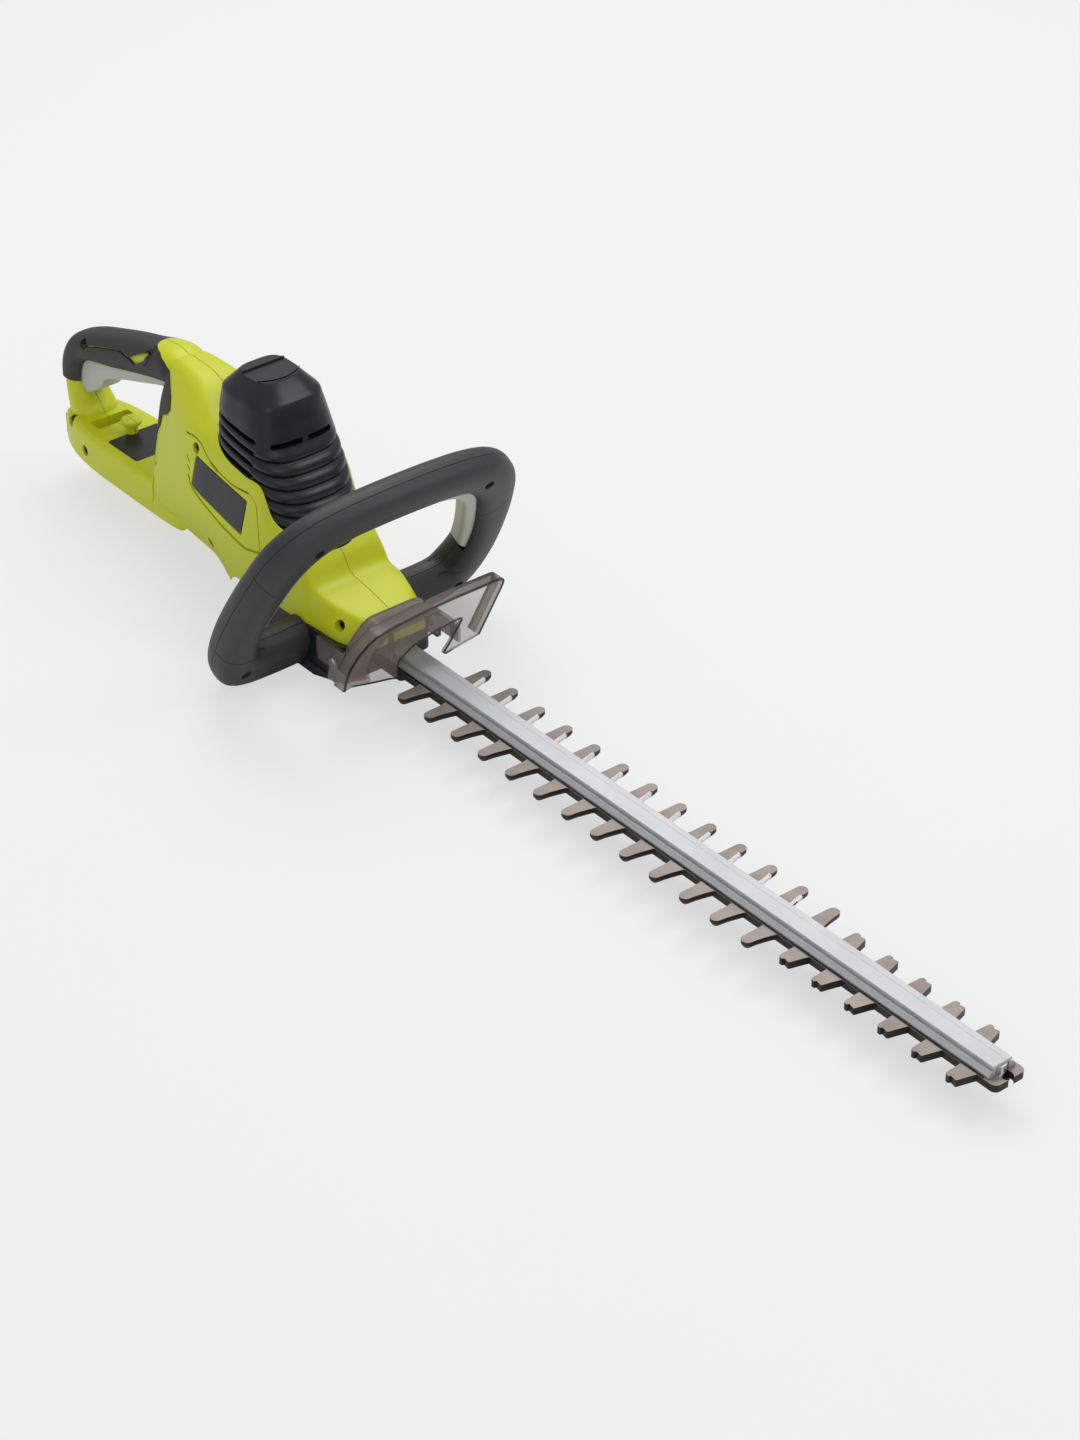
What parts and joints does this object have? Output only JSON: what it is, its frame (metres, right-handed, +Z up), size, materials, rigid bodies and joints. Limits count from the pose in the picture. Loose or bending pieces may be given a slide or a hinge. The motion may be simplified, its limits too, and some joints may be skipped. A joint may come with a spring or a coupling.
{
  "type": "hedge trimmer",
  "caption": "Hedge trimmer for battery or mains with a looped front handle, trigger grip, ribbed motor tower, smoky guard and a double-sided reciprocating blade.",
  "frame": {"origin": "middle of the overall box on the flat underside that the tool stands on", "axes": "+X along the blade towards its far end, +Y to the user's left, +Z up"},
  "size_m": [0.9544, 0.2258, 0.1825],
  "materials": {
    "lime_plastic": "fine moulded texture",
    "soft_grip": "soft matt",
    "grey_plastic": "fine texture",
    "black_plastic": "satin",
    "light_grey_plastic": "smooth",
    "smoky_plastic": "clear, tinted",
    "blade_steel": "ground",
    "drive_steel": "hardened",
    "screw_steel": "zinc plated",
    "rail_aluminium": "extruded",
    "cast_aluminium": "die cast",
    "bronze": "sintered",
    "can_steel": "zinc plated",
    "ferrite": "dull",
    "carbon": "dull",
    "copper": "enamelled winding and laminations",
    "board_green": "lacquered",
    "capacitor_sleeve": "shrink sleeve",
    "terminal_brass": "plated",
    "insulation": "smooth"
  },
  "bodies": {
    "body": {"housing_right": "lime_plastic", "housing_left": "lime_plastic", "grip_cover_right": "soft_grip", "grip_cover_left": "soft_grip", "motor_cover": "black_plastic", "gear_base": "black_plastic", "base_cover": "black_plastic", "base_screws": "screw_steel", "gear_plate": "cast_aluminium", "plate_screws": "screw_steel", "lower_bush": "bronze", "upper_bush": "bronze", "motor_can": "can_steel", "motor_magnets": "ferrite", "motor_end_cap": "black_plastic", "motor_bearings": "screw_steel", "motor_brushes": "carbon", "blade_rail": "rail_aluminium", "rail_nuts": "screw_steel", "blade_bolts": "screw_steel", "blade_washers": "screw_steel", "blade_guard": "smoky_plastic", "guard_screws": "screw_steel", "front_handle_front": "grey_plastic", "front_handle_rear": "grey_plastic", "handle_screws": "screw_steel", "lever_springs": "screw_steel", "lever_switch": "black_plastic", "trigger_pin": "screw_steel", "trigger_switch": "black_plastic", "housing_screws": "screw_steel", "circuit_board": "board_green", "capacitors": "capacitor_sleeve", "transformer": "copper", "heat_sink": "cast_aluminium", "battery_terminals": "terminal_brass", "inlet_socket": "black_plastic", "inlet_pins": "screw_steel", "motor_leads": "insulation", "switch_leads": "insulation"},
    "drive": {"drive_gear": "drive_steel", "drive_shaft": "drive_steel"},
    "rotor": {"motor_rotor": "copper", "motor_pinion": "drive_steel", "cooling_fan": "black_plastic"},
    "upper_blade": {"upper_blade": "blade_steel"},
    "lower_blade": {"lower_blade": "blade_steel"},
    "trigger": {"trigger": "light_grey_plastic", "trigger_spring": "screw_steel"},
    "lever": {"switch_lever": "light_grey_plastic"}
  },
  "joints": [
    {"name": "gear_turn", "type": "hinge", "parent": "body", "child": "drive", "pos_m": [-0.17482, 0, 0.0225], "axis": [0, 0, 1], "range_deg": [-90, 90]},
    {"name": "motor_turn", "type": "hinge", "parent": "body", "child": "rotor", "pos_m": [-0.21182, 0, 0.0225], "axis": [0, 0, 1], "range_deg": [-466, 466]},
    {"name": "upper_blade_slide", "type": "slide", "parent": "body", "child": "upper_blade", "axis": [1, 0, 0], "range_m": [-0.0071, 0.0071]},
    {"name": "lower_blade_slide", "type": "slide", "parent": "body", "child": "lower_blade", "axis": [1, 0, 0], "range_m": [-0.0071, 0.0071]},
    {"name": "trigger_squeeze", "type": "hinge", "parent": "body", "child": "trigger", "pos_m": [-0.34382, 0, 0.1355], "axis": [0, 1, 0], "range_deg": [0, 4], "stiffness_Nm_per_rad": 3, "springref_deg": -8.59},
    {"name": "lever_squeeze", "type": "slide", "parent": "body", "child": "lever", "axis": [0.4772, 0, 0.8788], "range_m": [0, 0.004], "stiffness_N_per_m": 1500, "springref_m": -0.003, "deforming": ["lever_springs"]}
  ],
  "couplings": [
    {"joint": "motor_turn", "follows": "gear_turn", "ratio": -5.1667},
    {"joint": "upper_blade_slide", "follows": "gear_turn", "m_per_rad": 0.0044563},
    {"joint": "lower_blade_slide", "follows": "gear_turn", "m_per_rad": -0.0044563}
  ]
}
